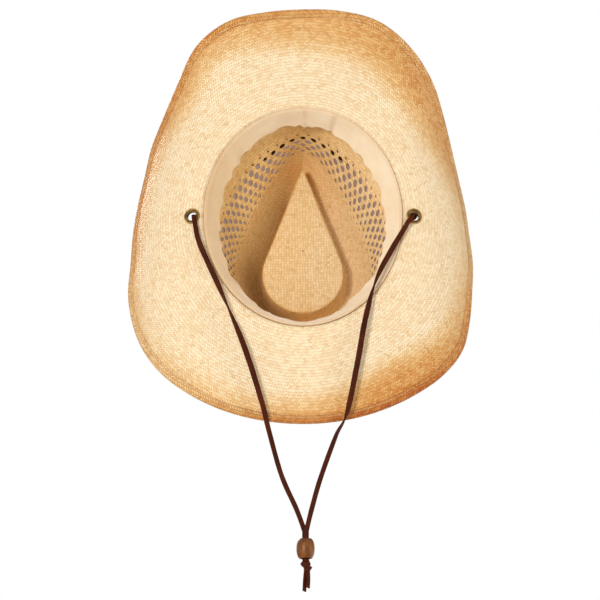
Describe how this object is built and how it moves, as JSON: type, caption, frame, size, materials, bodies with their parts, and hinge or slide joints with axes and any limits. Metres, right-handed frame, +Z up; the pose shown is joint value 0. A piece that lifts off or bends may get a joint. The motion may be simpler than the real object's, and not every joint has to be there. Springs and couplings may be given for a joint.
{
  "type": "cowboy hat",
  "caption": "Woven straw cowboy hat with a pinched teardrop crown, vented crown wall, wired curled brim, cloth sweatband, eyelets and a leather chin lace with a sliding wooden bead.",
  "frame": {"origin": "middle of the underside of the flat dent floor of the crown, where the hat rests on a head or a stand", "axes": "+Z up through the crown, -Y the front of the hat, +Y the rear where the chin lace trails, +X the hat's right edge when seen from below with the front at the top"},
  "size_m": [0.3042, 0.5252, 0.1157],
  "materials": {
    "straw": "woven",
    "sweatband_cloth": "brushed",
    "thread": "twisted",
    "elastic": "ribbed",
    "wire": "drawn",
    "brass": "antique",
    "lace_leather": "matt",
    "band_leather": "matt",
    "bead_wood": "satin"
  },
  "bodies": {
    "hat": {"straw_body": "straw", "brim_wire": "wire", "hem_stitching": "thread", "sweatband": "sweatband_cloth", "sweatband_elastic": "elastic", "sweatband_stitching": "thread", "left_eyelet": "brass", "right_eyelet": "brass", "left_eyelet_washer": "brass", "right_eyelet_washer": "brass", "hat_band": "band_leather", "hat_band_tab": "band_leather", "hat_band_rivet_front": "brass", "hat_band_rivet_rear": "brass", "crown_lace": "lace_leather"},
    "chin_lace": {"left_chin_lace": "lace_leather", "right_chin_lace": "lace_leather", "lace_knot": "lace_leather", "left_lace_tail": "lace_leather", "right_lace_tail": "lace_leather"},
    "bead": {"chin_bead": "bead_wood"}
  },
  "joints": [
    {"name": "chin_lace_swing", "type": "hinge", "parent": "hat", "child": "chin_lace", "pos_m": [0, -0.0285, -0.0785], "axis": [-1, 0, 0], "range_deg": [0, 170]},
    {"name": "bead_slide", "type": "slide", "parent": "chin_lace", "child": "bead", "axis": [0, -0.9982, -0.0599], "range_m": [0, 0.09], "deforming": ["left_chin_lace", "right_chin_lace"]}
  ]
}
